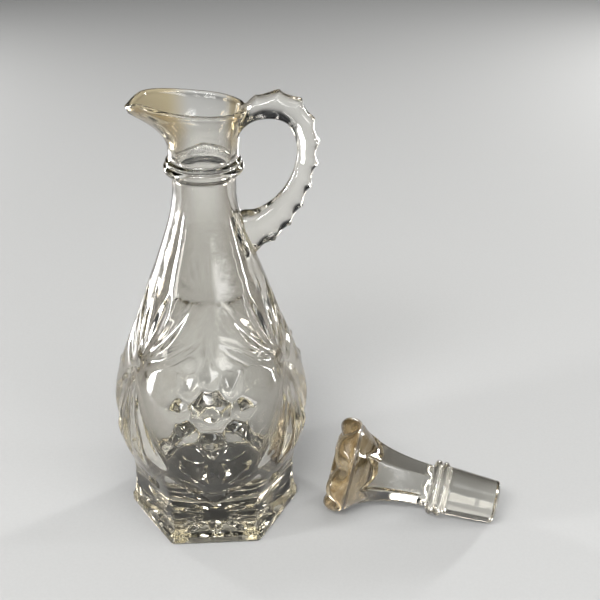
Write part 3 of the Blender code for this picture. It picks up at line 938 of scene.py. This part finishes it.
def stopper_glass(place_matrix):
    """The stopper's glass, with the amber stain and the crust that are left on its head."""
    nodes = Nodes(bpy.data.materials.new("stopper_glass"))
    sockets = {
        "Vector": nodes.add("ShaderNodeTexCoord", output="Object"),
        "Location": place_matrix.translation * UNIT,
        "Rotation": place_matrix.to_euler(),
    }
    place = nodes.add("ShaderNodeMapping", sockets, {"vector_type": "TEXTURE"})
    depth = nodes.axis(place, "Z")
    swirl = nodes.noise(place, STOPPER_SWIRL_SCALE)
    ripple = nodes.noise(place, STOPPER_RIPPLE_SCALE)
    blotch = nodes.noise(place, STOPPER_BLOTCH_SCALE, detail=3.0, roughness=0.6)

    stain = depth.between_sizes(STAIN_DEPTHS) * (0.75 + 0.25 * ripple.between(0.35, 0.65))
    tint = nodes.mix_colour(stain, GLASS_TINT, STAIN_TINT)
    rough = SMOOTH_ROUGHNESS + RIPPLE_ROUGHNESS * ripple + STAIN_ROUGHNESS * stain
    waves = nodes.bump(swirl, STOPPER_SWIRL_DEPTH)
    normal = nodes.bump(ripple, STOPPER_RIPPLE_DEPTH, waves)

    crust_tint = nodes.mix_colour(blotch.between(0.3, 0.7), DARK_CRUST_TINT, PALE_CRUST_TINT)
    # Painted shade: a dark line where the head meets the shank, mixed into the crust's colour and
    # share
    seam_shade = depth.between_sizes(SEAM_SHADE_NEAR_DEPTHS) * depth.between_sizes(SEAM_SHADE_FAR_DEPTHS)
    crust_tint = nodes.mix_colour(seam_shade, crust_tint, SEAM_SHADE_TINT)
    crust = stain * (0.14 + 0.22 * blotch.between(0.35, 0.65)) + 0.6 * seam_shade
    return finish_glass(nodes, tint, rough, normal, crust_tint, crust, LAMP_LIGHT_THROUGH)


def plain_floor():
    """A pale matt floor, far larger than the view."""
    mesh = bmesh.new()
    bmesh.ops.create_grid(mesh, x_segments=1, y_segments=1, size=FLOOR_REACH)
    bmesh.ops.translate(mesh, vec=(0, 0, -FLOOR_DROP), verts=mesh.verts)
    data = bpy.data.meshes.new("floor")
    mesh.to_mesh(data)
    mesh.free()
    floor = bpy.data.objects.new("floor", data)
    bpy.context.scene.collection.objects.link(floor)
    nodes = Nodes(bpy.data.materials.new("pale_floor"))
    place = nodes.add("ShaderNodeTexCoord", output="Object")
    colour = nodes.mix_colour(nodes.noise(place, FLOOR_GRAIN_SCALE), *FLOOR_SHADES)
    sockets = {"Base Color": colour, "Roughness": 0.9, "Specular IOR Level": 0.0}
    matt = nodes.add("ShaderNodeBsdfPrincipled", sockets)
    nodes.add("ShaderNodeOutputMaterial", {"Surface": matt})
    data.materials.append(nodes.owner)


def fade_edges(lamp):
    """Makes an area lamp brightest in its middle and dark at its edges, as a soft box is."""
    nodes = Nodes(lamp)
    place = nodes.add("ShaderNodeNewGeometry", output="Parametric")
    across, up = (nodes.axis(place, letter) for letter in "XY")
    glow = across.between(0.0, LAMP_FADE) * across.between(1.0, 1.0 - LAMP_FADE)
    glow = glow * up.between(0.0, LAMP_FADE) * up.between(1.0, 1.0 - LAMP_FADE)
    light = nodes.add("ShaderNodeEmission", {"Strength": glow * LAMP_GAIN})
    nodes.add("ShaderNodeOutputLight", {"Surface": light})


def soft_box(name, degrees, elevation, distance, size, power, aim=BODY_AIM):
    """An area lamp of a width and height, at an angle round the cruet, facing its axis."""
    lamp = bpy.data.lights.new(name, "AREA")
    lamp.shape = "RECTANGLE"
    lamp.size, lamp.size_y = size
    lamp.energy = power
    fade_edges(lamp)
    turn, rise = math.radians(degrees), math.radians(elevation)
    level = math.cos(rise)
    away = Vector((math.sin(turn) * level, -math.cos(turn) * level, math.sin(rise)))
    obj = bpy.data.objects.new(name, lamp)
    obj.matrix_world = away.to_track_quat("Z", "Y").to_matrix().to_4x4()
    obj.location = Vector((0, 0, aim)) + away * distance
    obj.visible_camera = False
    bpy.context.scene.collection.objects.link(obj)
    return obj


def edge_strip(name, degrees, distance, size, power):
    """A small lamp low behind the cruet that lights the edges of the glass, and no matt surface."""
    strip = soft_box(name, degrees, 0, distance, size, power, aim=FOOT_AIM)
    strip.visible_diffuse = False


def studio_light():
    soft_box("front_right_box", 36, 18, 0.95, (1.0, 0.26), 3.4)
    soft_box("upper_front_box", -22, 44, 1.0, (0.7, 0.3), 7.5)
    edge_strip("left_edge_strip", -132, 0.32, (0.20, 0.08), 0.2)
    edge_strip("right_edge_strip", 158, 0.34, (0.10, 0.08), 0.15)
    soft_box("left_strip", -75, 4, 0.80, (0.12, 0.28), 5)
    soft_box("back_left_strip", -134, 4, 0.90, (0.10, 0.44), 5.5)
    soft_box("back_right_strip", 128, 12, 1.0, (0.10, 0.48), 5.5)
    soft_box("right_strip", 84, 8, 0.85, (0.04, 0.40), 2)
    soft_box("top_box", 20, 70, 1.2, (1.0, 1.0), 4.2)
    world = bpy.data.worlds.new("studio")
    world.use_nodes = True
    background = world.node_tree.nodes["Background"]
    background.inputs["Color"].default_value = (0.9, 0.95, 1.0, 1.0)
    background.inputs["Strength"].default_value = 0.02
    bpy.context.scene.world = world


def photograph_camera():
    turn, pitch, roll = (math.radians(a) for a in (CAMERA_TURN, CAMERA_PITCH, CAMERA_ROLL))
    yaw = math.radians(CAMERA_YAW) - turn
    forward = Vector(
        (math.sin(yaw) * math.cos(pitch), math.cos(yaw) * math.cos(pitch), -math.sin(pitch))
    )
    level = Vector((math.cos(yaw), -math.sin(yaw), 0))
    below = forward.cross(level)
    right = math.cos(roll) * level + math.sin(roll) * below
    down = math.cos(roll) * below - math.sin(roll) * level
    camera = bpy.data.cameras.new("camera")
    camera.lens = CAMERA_LENS
    camera.sensor_width = CAMERA_SENSOR
    camera.clip_start = 0.01
    obj = bpy.data.objects.new("camera", camera)
    obj.matrix_world = Matrix((right, -down, -forward)).transposed().to_4x4()
    place = (CAMERA_DISTANCE * math.sin(turn), -CAMERA_DISTANCE * math.cos(turn), CAMERA_HEIGHT)
    obj.location = Vector(place) * UNIT
    bpy.context.scene.collection.objects.link(obj)
    bpy.context.scene.camera = obj


def set_light_paths():
    cycles = bpy.context.scene.cycles
    cycles.max_bounces = 32
    cycles.transmission_bounces = 32
    cycles.glossy_bounces = 12
    cycles.transparent_max_bounces = 32
    cycles.caustics_refractive = False
    cycles.caustics_reflective = False
    bpy.context.scene.view_settings.view_transform = "Standard"


def dress(obj, node, material):
    obj.data.materials.clear()
    obj.data.materials.append(material)
    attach(obj, "root")
    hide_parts(node)


body = to_object("glass_cruet", make_cruet_body())
handle = to_object("handle_shape", make_handle())
cruet = join_with_round(body, handle)
dress(cruet, "cruet", cruet_glass())

stopper_mesh, stopper_matrix = make_stopper()
stopper = to_object("glass_stopper", stopper_mesh)
dress(stopper, "stopper", stopper_glass(stopper_matrix))

plain_floor()
studio_light()
photograph_camera()
set_light_paths()
